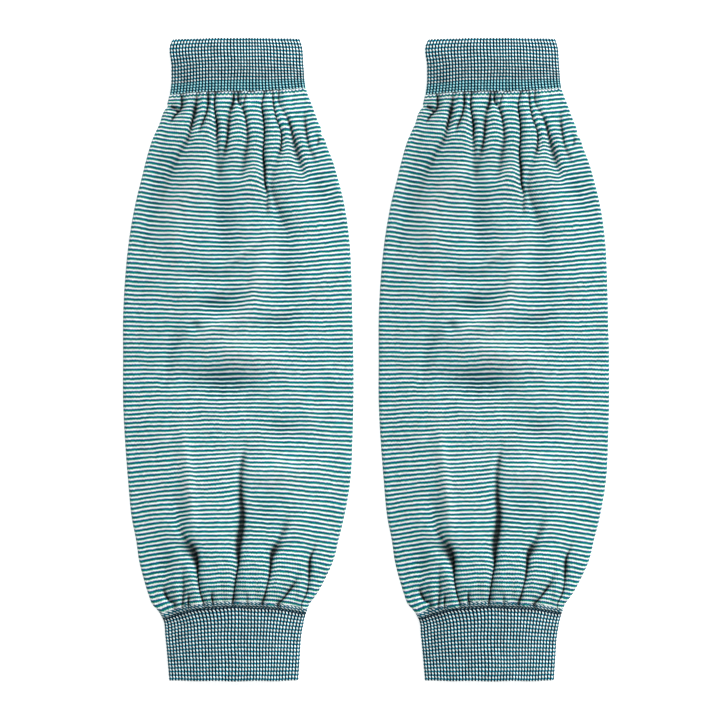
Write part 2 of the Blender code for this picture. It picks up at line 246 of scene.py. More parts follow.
# %% Creases above the long cuff
BOTTOM_CREASES = (
    ((-126.6, -33, 1.9, 0.9), (-125.6, -35, 3.1, 1), (-122.2, -37.6, 2.6, 1, 1.2),
     (-116, -38.5, 0.4, 2), (-106, -36.8, 0.9, 3.4, 2.9), (-96, -35, 0, 4, 3)),
    ((-126.6, -28.9, 2.2, 0.8), (-120, -28.3, 1.7, 1), (-114, -28.4, 1.4, 1.4),
     (-106, -28.6, 0.5, 1.6), (-100, -28, 0, 2.4)),
    ((-126.6, -25.9, 3.2, 0.38), (-122.9, -25.7, 1.7, 0.8), (-119, -26, 0, 0.6)),
    ((-126.6, -17.9, 2.7, 0.45), (-120.9, -19.5, 2.6, 0.38), (-111.5, -20.8, 5.4, 0.4, 0.38),
     (-106.3, -21, 4.7, 1.6, 0.9), (-100.3, -22.1, 2.6, 4.4, 1.4), (-96.4, -24.1, 1.9, 6.1, 1.8),
     (-93, -27, 1.5, 3.2, 2), (-86.4, -30, 0.9, 2.5, 2.1), (-79.8, -31.4, 0.6, 2.2, 1.9),
     (-72, -32, 0, 3.4, 3)),
    ((-126.6, -13.1, 3.2, 0.5), (-123.2, -13.6, 2.6, 0.5), (-119, -13.2, 0, 0.6)),
    ((-126.6, -2.9, 4.8, 0.8), (-120.9, -2.2, 5.4, 0.38), (-112.9, -1.1, 5.4, 0.38),
     (-105, 0.2, 5.4, 0.7, 0.58), (-98.3, 0.2, 3.6, 1.8, 1.5), (-92.3, 1, 3.1, 2.5, 2),
     (-85.7, 2, 2.7, 2.2, 1.8), (-79.8, 2.3, 2.3, 2.4, 1.8), (-73.8, 1.7, 2.3, 2, 1.6),
     (-66.5, 1.5, 1.9, 1.8, 1.5), (-59.9, 1.6, 1.6, 2, 1.8), (-53.8, 2.5, 1.7, 1.6),
     (-47.9, 3.3, 0.9, 1.9), (-38, 4, 0, 2.6)),
    ((-126.6, 4.7, 1.7, 0.5), (-123.5, 4.7, 1.2, 0.5), (-119, 4.7, 0, 0.6)),
    ((-126.6, 12.5, 2.6, 1.2), (-120.9, 14.1, 2.7, 0.5), (-112.9, 16, 2.4, 0.6),
     (-106.3, 16.8, 4.2, 0.58, 0.8), (-101.7, 17, 3, 0.8, 1.9), (-97.5, 18.5, 2.2, 1.6, 4.8),
     (-93, 21.4, 1.4, 1.6, 3.2), (-88.4, 23.7, 1.4, 2.2, 3.2), (-80.9, 25.5, 0.8, 3),
     (-72, 26.5, 0, 3)),
    ((-126.6, 20.8, 3, 1.1), (-124.8, 22.6, 3, 0.8), (-120.3, 26, 3.3, 0.9),
     (-116.2, 28.9, 1.7, 1.5), (-112.9, 30.6, 1.1, 1.7), (-104, 31, 0, 1.6)),
    ((-126.6, 32.9, 2.4, 0.38), (-122.1, 35.2, 2.3, 0.6), (-116.2, 36.5, 4.4, 0.4, 0.38),
     (-109.4, 37, 4.8, 1, 0.8), (-103, 37.4, 2.8, 0.8), (-97.7, 39.6, 1.3, 1.2),
     (-91, 41, 0, 1.6)),
)
print(len(BOTTOM_CREASES), "creases run up from the long cuff")

# %% [markdown]
# Cloth that gathers is pushed along as well. On a pleat the knitted courses arch over from one
# crease to the next, and where a pleat leans, the arch is steeper on one side. So each crease also
# says how far the courses drop on its left and right, and how far out that reaches. A negative
# drop lifts them.

# %% How the courses drop beside each crease
DROP_COLUMNS = ("y", "left_drop", "right_drop", "reach")
NO_DROP = ((BOTTOM_EDGE, 0, 0, 1), (TOP_EDGE, 0, 0, 1))
TOP_DROPS = (
    ((132.6, 0, 0, 1.5), (130.5, 0.6, 0.6, 2), (127.6, 0, 0, 1.5)),
    ((139.1, 0.3, 0.3, 1.6), (130, 0.9, 0.9, 2.2), (121, 0, 0, 2.5)),
    ((139.1, 0.3, 0.4, 1.6), (131, 0.2, 1.6, 2.4), (124, -0.1, 2.8, 3.2), (114, -0.2, 1.6, 4),
     (100, -0.4, 0.9, 5), (74, 0, 0, 5)),
    ((139.1, 0.2, 0.2, 1.2), (131, 0.4, 0.2, 1.6), (114, 0, 0, 2)),
    ((139.1, 0.2, 0.2, 1.2), (130, 1.6, 0.2, 2.4), (120, 2.4, 0.5, 3), (108, 1.2, 0.4, 3.5),
     (86, 0, 0, 4)),
    ((139.1, 0.2, 0.6, 1.4), (129, 0.3, 1.5, 2.4), (118, 0.4, 1.6, 3), (104, 0.3, 0.8, 3.5),
     (88, 0, 0, 4)),
    ((139.1, 0.4, 0.2, 1.4), (129, 1.6, 0.7, 2.2), (116, 1.3, 0.7, 2.6), (102, 0.6, 0.4, 3),
     (88, 0, 0, 4)),
    NO_DROP,
    ((139.1, 0.4, 0.1, 1.4), (128, 1, 0.2, 2), (112, 1.5, 0.2, 2.6), (98, 1.6, 0.2, 3),
     (88, 1.3, 0, 3.6), (78, 0.5, -0.1, 4), (68, 0, 0, 5)),
    ((139.1, 0.2, 0.3, 1.2), (126, 0.3, 1.6, 2), (116, 0.3, 2.6, 2.8), (104, 0.2, 1.2, 3.4),
     (90, 0.4, 0.2, 4), (52, 0, 0, 4)),
    ((139.1, 0.2, 0.2, 1.2), (128, 0.8, 0.3, 2), (118, 3.2, 0.3, 3), (108, 3.6, 0.2, 3.6),
     (98, 2.2, -0.2, 4), (86, 0, 0, 4)),
    ((131, 0, 0, 1.5), (120, 1, 0.6, 2.2), (108, 0.8, 0.3, 2.6), (97, 0, 0, 3)),
    ((120, 0, 0, 1), (116, 0.5, 0.3, 1.5), (109, 0, 0, 1.5)),
)
BOTTOM_DROPS = (
    ((-126.6, 0.2, 0.2, 1.5), (-118, 0.6, 0.4, 2.2), (-96, 0, 0, 3)),
    ((-126.6, 0.3, 0.3, 1.6), (-118, 0.6, 0.5, 2.2), (-100, 0, 0, 3)),
    NO_DROP,
    ((-126.6, 0.3, 0.2, 1.5), (-116, 0.8, 0.2, 2), (-106, 1.6, -0.4, 2.8), (-98, 1.8, -0.9, 4),
     (-88, 1, -0.9, 5), (-72, 0, 0, 5)),
    NO_DROP,
    ((-126.6, 0.3, 0.3, 1.5), (-116, 0.8, 0.4, 2), (-104, 1.4, 0.5, 2.4), (-96, 1.2, 0.3, 3),
     (-86, -0.2, 0, 3.6), (-74, -1.2, -0.5, 5.5), (-60, -1.4, -0.6, 7), (-38, 0, 0, 7)),
    NO_DROP,
    ((-126.6, 0.3, 0.3, 1.5), (-116, 0.5, 0.8, 2), (-104, 0.4, 1.4, 2.6), (-96, 0.2, 1.4, 3.4),
     (-84, 0.2, 0.6, 4), (-72, 0, 0, 4)),
    ((-126.6, 0.3, 0.3, 1.5), (-120, 0.5, 0.6, 2), (-104, 0, 0, 3)),
    ((-126.6, 0.3, 0.3, 1.5), (-116, 0.8, 0.6, 2.2), (-104, 0.8, 0.4, 2.6), (-91, 0, 0, 3)),
)
print(len(TOP_DROPS), "and", len(BOTTOM_DROPS), "rows of drops, one for each crease")

# %% [markdown]
# In section a crease is a narrow slit in a wider rounded valley: two pleats press together, and
# their shoulders roll away. Far from the cuff the slit is softer, so the power inside its
# exponential goes from SHARP_POWER to SOFT_POWER. The slit alone is kept as well, because no light
# gets in there.

# %% Shape of the creases
SHARP_POWER, SOFT_POWER = 1.2, 2.0
SHARP_LENGTH = 55.0
UNION_POWER = 4
CREASE_SCALE = 1.2
SLIT_SHARE = 0.7
LEAST_WIDTH = 0.35
SHOULDER_LEAST, SHOULDER_PER_WIDTH = 1.3, 1.9
DARK_FROM = 3.2
DROP_POWER = 1.4


def crease_shape(x, y, creases, drops, join):
    """Depth, slit and course drop of the creases of one cuff. The depth is a slit, e to minus
    (distance over width) to a power, in a wider bell; where two creases meet the deeper one wins.
    The drop changes from its left to its right value across the slit and fades with distance."""
    depth_total, slit_total, drop_total = np.zeros((3,) + x.shape)
    softness = smooth_step(np.abs(y - join) / SHARP_LENGTH)
    power = SHARP_POWER + (SOFT_POWER - SHARP_POWER) * softness
    for crease_rows, drop_rows in zip(creases, drops):
        crease = partial(column_curve, CREASE_COLUMNS, crease_rows, y)
        drop = partial(column_curve, DROP_COLUMNS, drop_rows, y)
        across = x - crease("x")
        width = np.where(across < 0, crease("left_width"), crease("right_width"))
        width = np.maximum(width, LEAST_WIDTH)
        depth = CREASE_SCALE * np.maximum(crease("depth"), 0.0)
        slit = np.exp(-((np.abs(across) / width) ** power))
        shoulder = np.exp(-((across / (SHOULDER_LEAST + SHOULDER_PER_WIDTH * width)) ** 2))
        depth_total += (depth * (SLIT_SHARE * slit + (1 - SLIT_SHARE) * shoulder)) ** UNION_POWER
        slit_total += (np.minimum(depth / DARK_FROM, 1.0) * slit) ** UNION_POWER
        side = 0.5 + 0.5 * np.tanh(across / width)
        dropped = (1 - side) * drop("left_drop") + side * drop("right_drop")
        drop_total += dropped * np.exp(-((np.abs(across) / drop("reach")) ** DROP_POWER))
    return depth_total ** (1 / UNION_POWER), slit_total ** (1 / UNION_POWER), drop_total


# %% [markdown]
# Between the gathered ends the loose cloth dips and swells by one to three millimetres, which
# catches the light from above. Each row is one soft hollow, long in one direction; a negative depth
# makes it a swell. Its lift moves the courses on it up or down.

# %% Soft hollows and swells
# Centre x and y, half length, half width, turn in degrees, depth and lift of each.
HOLLOWS = (
    (-34, 101, 9, 3.6, 50, 0.9, -0.4),
    (-29, 84, 13, 3.2, 48, -1.9, 0.4),
    (-8.5, 72, 20, 4.2, 95, 2.1, -0.3),
    (6.5, 93, 9, 4.4, 62, -1.1, 1.3),
    (21.5, 75, 14, 4, 108, 1, -0.3),
    (43, 87, 15, 5, 112, 1.6, -0.2),
    (-44.5, 82, 22, 3.2, 80, 1.5, -0.2),
    (-19, 98, 12, 5, 60, -1, 0.2),
    (-32.5, 63, 15, 4.6, 95, -1.2, 0.2),
    (1.5, 54.2, 12, 1.5, 40, -2.6, 0.3),
    (8.5, 36, 23, 3.8, 74, -2.2, 0.5),
    (44.2, 41, 10, 1.8, 52, -1.7, 0.2),
    (24.5, 48, 20, 4.5, 96, 1.4, -0.2),
    (-16.5, 43.5, 11, 2.8, 4, 1.2, -0.2),
    (-28, 37, 7, 3.2, 15, -1.2, 0.3),
    (-10.8, 28.8, 8.8, 3.8, 15, 2.7, -0.5),
    (21, 19.5, 9, 4, 15, 2.1, -0.2),
    (4, 3, 20, 6, -8, -2.5, 0.6),
    (-10, 16.5, 12, 3.6, 30, -2.3, 0.4),
    (-22, 17.5, 2.6, 2.2, 0, 2.1, 0),
    (-30.5, 10.5, 6, 2.2, 52, 1.2, 0),
    (-35.5, 0, 14, 2.8, 80, 1.8, -0.3),
    (-9, -11.2, 16.5, 5.8, -6, 3.3, -0.7),
    (23, -36.5, 9.5, 4.8, -6, 1.5, -0.3),
    (21.5, -58, 17, 6, 4, -2, 0.4),
    (-25.2, -64, 27, 2.6, -84, -2, 0.5),
    (-31, -78, 12, 4.2, 99, 1.1, -0.3),
    (13.5, -79, 13, 5, 78, 1.2, -0.2),
    (-38, -108, 12, 4.6, 100, 1.2, -0.2),
)
LOWER_SIDE = 0.7


def hollow_shape(x, y):
    """Depth and lift of the soft hollows: a sum of bells, each turned from X and gentler on its
    lower side."""
    depth_total, lift_total = np.zeros((2,) + x.shape)
    for centre_x, centre_y, half_length, half_width, turn, depth, lift in HOLLOWS:
        across, up, turn = x - centre_x, y - centre_y, math.radians(turn)
        along = (across * math.cos(turn) + up * math.sin(turn)) / half_length
        aside = (up * math.cos(turn) - across * math.sin(turn)) / half_width
        aside = np.where(aside < 0, aside * LOWER_SIDE, aside)
        bell = np.exp(-(along**2) - aside**2)
        depth_total += depth * bell
        lift_total += lift * bell
    return depth_total, lift_total


WAVE_COUNT, WAVE_SUM = 7, 3.0
WAVE_SPREAD = (0.7, 1.5)


def waves(x, y, height, length, seed):
    """Unevenness of about the given height: crossing sine waves of about the given length, their
    directions, phases and lengths drawn from the seed."""
    draw = np.random.default_rng(seed)
    turns, phases = draw.uniform(0, math.pi, WAVE_COUNT), draw.uniform(0, 2 * math.pi, WAVE_COUNT)
    lengths = length * draw.uniform(*WAVE_SPREAD, WAVE_COUNT)
    total = np.zeros_like(x)
    for turn, phase, span in zip(turns, phases, lengths):
        way = x * math.cos(turn) + y * math.sin(turn)
        total += np.sin(2 * math.pi * way / span + phase)
    return total * height / WAVE_SUM


print(len(HOLLOWS), "hollows and swells")

# %% [markdown]
# ## The body of a sleeve
#
# The body is a closed wall: a fine outer skin with every crease, a plainer inner skin, and a rim
# that joins them at each end. A Solidify modifier would cross itself in the narrow creases, so the
# inner skin lies one wall thickness below the lowest outer points nearby.
#
# The upper skin is a grid: rows follow the courses and columns run from edge to edge. In a crease
# the course sags with the cloth, which bends the stripes into the arcs that show on every pleat.
# Two values go with it to the finish, both to paint shade: how deep in a slit each point is, and
# how far it dips below the crown.

# %% The upper skin of the body
BODY_ROWS, BODY_COLUMNS = 216, 280
BODY_WALL = 0.7
LOWEST_FOLD, LEAST_ROOM = 2.8, 0.2
SAG_STARTS = 7.0
CREASE_STARTS, SLITS_START, FLAT_SHARE = 4.0, 2.0, 0.35
CUFF_SHADE, CUFF_SHADE_REACH = 0.14, 5.0
# Painted shade by the dips: the full dip, the share of the creases in it, and the least, which on a swell
# paints a highlight.
DIP_SHADE_FULL, CREASE_DIP_SHADE, LEAST_DIP_SHADE = 3.6, 0.35, -0.4
SKIN_EDGE_POWER = 12
# Each unevenness has a height and a length in millimetres, and a seed.
PUCKERS, PUCKER_STRETCH, PUCKER_REACH = (0.50, 6.0, 11), 0.35, 24.0
UNEVEN = (0.16, 26.0, 5)
SLOW_DRIFT = (0.16, 19.0, 23)
FINE_DRIFT, FINE_STRETCH = (0.07, 5.0, 29), 0.5


def from_joins(course):
    """How far a course is from the nearer join."""
    return np.minimum(TOP_JOIN - course, course - BOTTOM_JOIN)


def grow(from_end, length):
    """FLAT_SHARE at a join, growing to 1 over a length."""
    return FLAT_SHARE + (1 - FLAT_SHARE) * smooth_step(from_end / length)


def body_upper(course, s):
    """The upper skin as x, y, z, the slits and the dips: crown less creases and hollows, held above
    LOWEST_FOLD by a tanh, with each course moved by the drops, lifts and a slow drift. The slits
    take in a faint painted shade beside the short cuff. A dip is the share of the full dip depth that
    the hollows and a part of the creases take off the crown, negative on a swell; the finish paints
    shade by it, and a highlight where it is negative."""
    x, y = laid(course, s)
    top = crease_shape(x, y, TOP_CREASES, TOP_DROPS, TOP_JOIN)
    low = crease_shape(x, y, BOTTOM_CREASES, BOTTOM_DROPS, BOTTOM_JOIN)
    creases, slits, drop = (a + b for a, b in zip(top, low))
    hollows, lift = hollow_shape(x, y)
    from_end = from_joins(course)
    near = 1 - smooth_step(from_end / PUCKER_REACH)
    creases *= grow(from_end, CREASE_STARTS)
    slits *= grow(from_end, SLITS_START)
    slits = np.maximum(slits, CUFF_SHADE * np.exp(-(((TOP_JOIN - course) / CUFF_SHADE_REACH) ** 2)))
    puckers = waves(x, y * PUCKER_STRETCH, *PUCKERS) * near
    depth = creases + hollows + puckers + waves(x, y, *UNEVEN)
    base = crown(course, s)
    room = np.maximum(base - LOWEST_FOLD, LEAST_ROOM)
    fade = 1 - np.abs(s) ** SKIN_EDGE_POWER
    depth = np.where(depth > 0, room * np.tanh(depth / room), depth) * fade
    drift = waves(x, y, *SLOW_DRIFT) + waves(x, y * FINE_STRETCH, *FINE_DRIFT)
    moved = (lift - drop + drift) * smooth_step(from_end / SAG_STARTS) * fade
    dips = np.clip((hollows + CREASE_DIP_SHADE * creases) / DIP_SHADE_FULL, LEAST_DIP_SHADE, 1)
    return x, y + moved, base - depth, slits, dips


# %% [markdown]
# The side edges are half-rounds where the tube turns under. The gathers go all the way round, so
# the underside has shallow ones of its own, which lift off the floor between the places where it
# touches.

# %% Edges and underside
EDGE_STEPS, INNER_EDGE_STEPS = 7, 3
UNDER_COLUMNS = 90
UNDER_GATHERS = 9
UNDER_RISE = 1.0
UNDER_REACH, UNDER_REACH_WAVES = 48.0, (16.0, 30.0, 31)
UNDER_WANDER = (0.5, 34.0, 37)
UNDER_EDGE_POWER = 6


def half_round(course, side, angles, radius):
    """The rounded edge on one side (-1 left, 1 right): a circle of that radius round a line that
    is SIDE_RADIUS above the floor."""
    course, angle = np.meshgrid(course, np.radians(angles), indexing="ij")
    y = course_height(course, float(side))
    x = side * (flat_reach(y, float(side)) + radius * np.cos(angle))
    return x, y, SIDE_RADIUS + radius * np.sin(angle)


def body_under(course, s):
    """The underside as x, y, z. Near each cuff it lifts off the floor in rounded troughs: a raised
    cosine across, to the fourth power, fading out in the loose middle and at the edges."""
    x, y = laid(course, s)
    near = 1 - smooth_step(from_joins(course) / (UNDER_REACH + waves(x, 0.0, *UNDER_REACH_WAVES)))
    wander = waves(x, y, *UNDER_WANDER)
    trough = (0.5 + 0.5 * np.cos(math.pi * (UNDER_GATHERS * s + wander))) ** 4
    return x, y, UNDER_RISE * near * trough * (1 - np.abs(s) ** UNDER_EDGE_POWER)


# %% Rings of the body, outside and inside
def grid(course, start, end, steps):
    """Each course against even steps of s."""
    return np.meshgrid(course, np.linspace(start, end, steps + 1), indexing="ij")


def rings_round(course, upper, under, steps, right_in, left_in):
    """Closed rings of x, y, z: upper side, right edge, underside and left edge. The edges are
    half-rounds less their two ends, the given amounts inside the tube's."""
    angles = np.linspace(90, -90, steps + 1)[1:-1]
    right = half_round(course, 1, angles, SIDE_RADIUS - right_in)
    left = half_round(course, -1, angles[::-1], SIDE_RADIUS - left_in)
    return np.stack([np.concatenate(axis, axis=1) for axis in zip(upper, right, under, left)], axis=2)


def windows_near(z, rows, columns):
    """The values within so many rows and columns of each grid point."""
    padded = np.pad(z, ((rows, rows), (columns, columns)), mode="edge")
    return np.lib.stride_tricks.sliding_window_view(padded, (2 * rows + 1, 2 * columns + 1))


body_courses = np.linspace(TOP_JOIN - JOIN_GAP, BOTTOM_JOIN + JOIN_GAP, BODY_ROWS + 1)
x, y, z, slit_map, dip_shade_map = body_upper(*grid(body_courses, -1, 1, BODY_COLUMNS))
under = body_under(*grid(body_courses, 1, -1, UNDER_COLUMNS))
body_outside = rings_round(body_courses, (x, y, z), under, EDGE_STEPS, 0, 0)

# The inner skin keeps every second row, every fourth upper column and every third lower one.
inner_z = windows_near(z, 2, 4).min(axis=(2, 3)) - BODY_WALL
inner_under_z = windows_near(under[2], 2, 3).max(axis=(2, 3)) + BODY_WALL
inner_upper = [part[::2, ::4] for part in (x, y, inner_z)]
inner_under = [part[::2, ::3] for part in (under[0], under[1], inner_under_z)]
inner_sides = (INNER_EDGE_STEPS, BODY_WALL, BODY_WALL)
body_inside = rings_round(body_courses[::2], inner_upper, inner_under, *inner_sides)
print("outer rings", body_outside.shape[:2], "inner rings", body_inside.shape[:2])

# %% [markdown]
# ## Stitch coordinates
#
# Every finish here follows the knitting, so each point's UV says which stitch round the tube (U)
# and which course (V) it is in. Courses count from the top of a body and from the open end of a
# cuff. U is measured along the folded cloth, so stitches keep their size over a pleat and run down
# into the creases.

# %% Stitches round and courses down
BODY_COURSES = 243
STRIP_STITCHES = (80, 4, 80, 4)
AROUND = sum(STRIP_STITCHES)


def along_ring(rings, strip_columns):
    """How far round each ring its points lie, in stitches: arc length, scaled so that each of the
    four strips holds its own number of stitches."""
    closed = np.concatenate((rings, rings[:, :1]), axis=1)
    steps = np.linalg.norm(np.diff(closed[:, :, ::2], axis=1), axis=2)
    reach = np.pad(np.cumsum(steps, axis=1), ((0, 0), (1, 0)))
    ends, stitches = np.cumsum((0,) + strip_columns), np.cumsum((0,) + STRIP_STITCHES)
    return np.array([np.interp(ring[:-1], ring[ends], stitches) for ring in reach])


outer_strips = (BODY_COLUMNS, EDGE_STEPS, UNDER_COLUMNS, EDGE_STEPS)
inner_strips = (BODY_COLUMNS // 4, INNER_EDGE_STEPS, UNDER_COLUMNS // 3, INNER_EDGE_STEPS)
body_v = (TOP_JOIN - body_courses) / (TOP_JOIN - BOTTOM_JOIN) * BODY_COURSES
body_outer = (body_outside, along_ring(body_outside, outer_strips), body_v)
body_inner = (body_inside, along_ring(body_inside, inner_strips), body_v[::2])
print(AROUND, "stitches round and", BODY_COURSES, "courses down")

# %% [markdown]
# ## Skins into a closed wall
#
# The grids become one mesh: quads between neighbouring rings, and at each end a strip of triangles
# that steps round both rings together, always on the one whose next point comes first. So the wall
# closes although the two rings have different numbers of points.


# %% Faces of the wall
def skin_faces(u, v, start, around, inward):
    """Quads between each ring and the next, and their UVs; the last column closes the ring at a
    full turn. Outer skins run down, right and up so that they face out, inner ones the other way."""
    points = start + np.arange(u.size).reshape(u.shape)
    next_points, next_u = np.roll(points, -1, axis=1), np.roll(u, -1, axis=1)
    next_u[:, -1] += around
    v = np.broadcast_to(v[:, None], u.shape)
    here, beside = np.stack((points, u, v), axis=-1), np.stack((next_points, next_u, v), axis=-1)
    corners = np.stack((here[:-1], here[1:], beside[1:], beside[:-1]), axis=2).reshape(-1, 4, 3)
    corners = corners[:, ::-1] if inward else corners
    return corners[:, :, 0].astype(int), corners[:, :, 1:]


def rim_faces(outer_u, inner_u, outer_start, inner_start, v, around, upward):
    """Triangles between two closed rings, and their UVs: the steps of both rings are sorted by
    where they end, and each makes one triangle with the other ring's current point."""
    n, m = len(outer_u), len(inner_u)
    wide_outer, wide_inner = np.append(outer_u, around), np.append(inner_u, around)
    order = np.argsort(np.concatenate((wide_outer[1:], wide_inner[1:])), kind="stable")
    on_outer = order < n
    i = np.cumsum(on_outer) - on_outer
    j = np.cumsum(~on_outer) - ~on_outer
    far = np.where(on_outer, i + 1, j + 1)
    third = np.where(on_outer, outer_start + far % n, inner_start + far % m)
    third_u = np.where(on_outer, wide_outer[np.minimum(far, n)], wide_inner[np.minimum(far, m)])
    faces = np.stack((outer_start + i % n, third, inner_start + j % m), axis=-1)
    uv_u = np.stack((wide_outer[i], third_u, wide_inner[j]), axis=-1)
    uv = np.stack((uv_u, np.full_like(uv_u, v)), axis=-1)
    return (faces, uv) if upward else (faces[:, ::-1], uv[:, ::-1])


def wall_mesh(name, outer, inner, around, centre_x):
    """One closed wall as a mesh, its points in metres. Each skin is its rings, their U and V."""
    (outside, outside_u, outside_v), (inside, inside_u, inside_v) = outer, inner
    points = np.concatenate((outside.reshape(-1, 3), inside.reshape(-1, 3)))
    points = (points + (centre_x, 0.0, 0.0)) * MM
    offset = outside_u.size
    last_outer, last_inner = offset - outside.shape[1], len(points) - inside.shape[1]
    parts = (
        skin_faces(outside_u, outside_v, 0, around, False),
        skin_faces(inside_u, inside_v, offset, around, True),
        rim_faces(outside_u[0], inside_u[0], 0, offset, outside_v[0], around, True),
        rim_faces(outside_u[-1], inside_u[-1], last_outer, last_inner, outside_v[-1], around, False),
    )
    mesh = bpy.data.meshes.new(name)
    mesh.from_pydata(points, [], [face for faces, uv in parts for face in faces.tolist()])
    uv = np.concatenate([uv.reshape(-1, 2) for faces, uv in parts])
    mesh.uv_layers.new(name="stitches").data.foreach_set("uv", uv.astype(np.float32).ravel())
    mesh.shade_smooth()
    return mesh


# %% Both bodies
pieces = {}


def add_object(name, data):
    """A new object at the origin, linked into the scene."""
    made = bpy.data.objects.new(name, data)
    bpy.context.scene.collection.objects.link(made)
    return made


def add_piece(name, mesh):
    """Keeps a finished mesh as a piece."""
    pieces[name] = add_object(name, mesh)
    print(name, len(mesh.loops) - 2 * len(mesh.polygons), "triangles")


def point_value(mesh, name, upper_values):
    """A number for each point of a body, 0 off its upper skin, kept for the material to read."""
    outer, inner = np.zeros(body_outside.shape[:2]), np.zeros(body_inside.shape[:2])
    outer[:, : BODY_COLUMNS + 1] = upper_values
    values = np.concatenate((outer.ravel(), inner.ravel())).astype(np.float32)
    mesh.attributes.new(name, "FLOAT", "POINT").data.foreach_set("value", values)


for side, axis_x in SLEEVE_AXES.items():
    name = f"{side}_striped_body"
    mesh = wall_mesh(name, body_outer, body_inner, AROUND, axis_x)
    # Painted shade: the slit and dip values darken the finish.
    point_value(mesh, "crease", np.clip(slit_map, 0, 1))
    point_value(mesh, "dip_shade", dip_shade_map)
    add_piece(name, mesh)

# %% [markdown]
# ## The rib cuffs
#
# A one-and-one rib has raised columns with deep narrow grooves between them. Every second course
# is off-white, but only the raised stitches show it, so a cuff reads as rows of pale dots on teal.
# The relief is real geometry: each rib is rounded across, swells at every stitch, and its stitches
# lean a little, as twisted yarn does.

# %% Relief of the ribs
RIB_DEPTH, STITCH_SWELL = 0.72, 0.16
RIB_ROUNDNESS = 0.8
STITCH_LEAN, GROOVE_SHARE = -0.30, 0.02
RIB_STEPS, UNDER_RIB_STEPS, COURSE_STEPS = 6, 4, 3
SIDE_RIBS, EDGE_RIBS = 40, 4
HALF_RIBS = SIDE_RIBS + EDGE_RIBS
CUFF_WALL = 1.3
RIB_LIFT, LIFT_EDGE_POWER = 0.35, 4


def rib_drop(u, v):
    """How far the surface lies below the top of a rib: a hump across it, one minus the cube of the
    distance from its middle, to a power, which swells once for each course."""
    off_centre = np.abs(2 * (u % 1.0) - 1)
    hump = (1 - off_centre**3) ** RIB_ROUNDNESS
    swell = 0.5 - 0.5 * np.cos(2 * math.pi * v)
    return RIB_DEPTH * (1 - hump) + STITCH_SWELL * (1 - swell) * hump


def stitch_lean(u):
    """The lean of a stitch across its rib, from minus to plus one half, and none in the groove."""
    part = u % 1.0
    return np.where(part < GROOVE_SHARE, 0.0, part - 0.5)


# %% Rings of one cuff
SWAY, SWAY_WIDTH = (0.25, 24.0, 41), 34.0
RIB_UNEVEN = (0.15, 15.0, 43)
RIB_DRIFT = (0.1, 14.0, 47)


def cuff_rings(course, extra_y, inset, v, ribs, shift):
    """Rings of a cuff's outer skin and their U: the tube's section, moved inwards by the rib relief
    and by the inset that rounds the open end. The middle rib lies off the axis by shift."""
    upper_u = np.arange(SIDE_RIBS * RIB_STEPS + 1) / RIB_STEPS
    edge_u = np.arange(1, EDGE_RIBS * RIB_STEPS) / RIB_STEPS
    under_u = np.arange(SIDE_RIBS * UNDER_RIB_STEPS + 1) / UNDER_RIB_STEPS
    strips = (upper_u, SIDE_RIBS + edge_u, HALF_RIBS + under_u, HALF_RIBS + SIDE_RIBS + edge_u)
    u = np.concatenate(strips)
    drop = rib_drop(u, v[:, None]) * ribs[:, None] + inset[:, None]
    cuts = np.cumsum([len(strip) for strip in strips[:-1]])
    upper_drop, right_drop, under_z, left_drop = np.split(drop, cuts, axis=1)

    c, s = grid(course, -1, 1, SIDE_RIBS * RIB_STEPS)
    s = s + shift * (1 - s * s)
    x, y = laid(c, s)
    x = x + waves(s * SWAY_WIDTH, y, *SWAY) * (1 - s * s)
    lift = (RIB_LIFT + waves(x, y, *RIB_UNEVEN)) * (1 - s**LIFT_EDGE_POWER)
    z = crown(c, s) + lift - upper_drop
    upper = (x, y + waves(x, y, *RIB_DRIFT), z)
    under = (*laid(*grid(course, 1, -1, SIDE_RIBS * UNDER_RIB_STEPS)), under_z)
    rings = rings_round(course, upper, under, EDGE_RIBS * RIB_STEPS, right_drop, left_drop)
    lean = STITCH_LEAN * np.mean(np.abs(np.diff(course))) * COURSE_STEPS * stitch_lean(u)
    rings[:, :, 1] += lean * ribs[:, None] + extra_y[:, None]
    return rings, np.broadcast_to(u, drop.shape)


def inside_rings(course):
    """The plain inner skin of a cuff, one column for each rib, and its U."""
    c, s = grid(course, -1, 1, SIDE_RIBS)
    upper = (*laid(c, s), crown(c, s) - CUFF_WALL)
    c, s = grid(course, 1, -1, SIDE_RIBS)
    under = (*laid(c, s), np.full_like(s, CUFF_WALL))
    rings = rings_round(course, upper, under, EDGE_RIBS, CUFF_WALL, CUFF_WALL)
    return rings, np.broadcast_to(np.arange(2.0 * HALF_RIBS), rings.shape[:2])


# %% [markdown]
# The open end of a cuff is a turned, rounded edge. Three extra rings roll the outer skin in by about
# half the wall before the rim closes it. At the other end the cuff stops just short of the body.
# The last rows of the short cuff lie closer together.

# %% Both pairs of cuffs
ROLL = 0.6
ROLL_COURSES = 0.6
ROLL_ANGLES = np.radians((90, 60, 30))
ROLL_RIBS = 0.8
# Y of the open end and of the join, rows, shares of the way at those rows, and shift of each.
CUFFS = {
    "top_rib_cuff": (TOP_EDGE, TOP_JOIN, (0, 24, 32), (0.0, 0.778, 1.0), -0.015),
    "bottom_rib_cuff": (BOTTOM_EDGE, BOTTOM_JOIN, (0, 37), (0.0, 1.0), -0.04),
}


